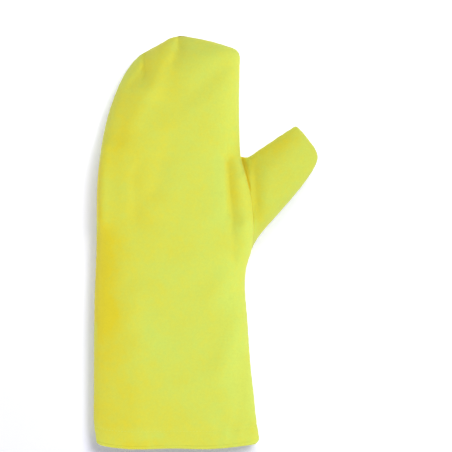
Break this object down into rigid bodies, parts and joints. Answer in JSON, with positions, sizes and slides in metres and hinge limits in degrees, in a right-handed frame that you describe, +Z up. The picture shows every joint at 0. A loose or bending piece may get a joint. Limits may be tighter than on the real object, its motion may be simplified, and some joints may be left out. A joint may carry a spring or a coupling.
{
  "type": "fire-resistant mitten",
  "caption": "Long-cuffed heat-resistant cloth mitten for one hand, with a set-in thumb, lying on its palm and open at the cuff.",
  "frame": {"origin": "on the table, under the middle of the box that the mitten fills", "axes": "+Y towards the fingertips, +X towards the thumb, +Z up out of the back of the hand"},
  "size_m": [0.206, 0.38, 0.041],
  "materials": {
    "aramid_cloth": "matt lemon-yellow woven cloth with a faint lime cast"
  },
  "bodies": {
    "root": {"back_panel": "aramid_cloth", "palm_panel": "aramid_cloth", "thumb_back": "aramid_cloth", "thumb_palm": "aramid_cloth", "cuff_hem": "aramid_cloth"}
  },
  "joints": []
}
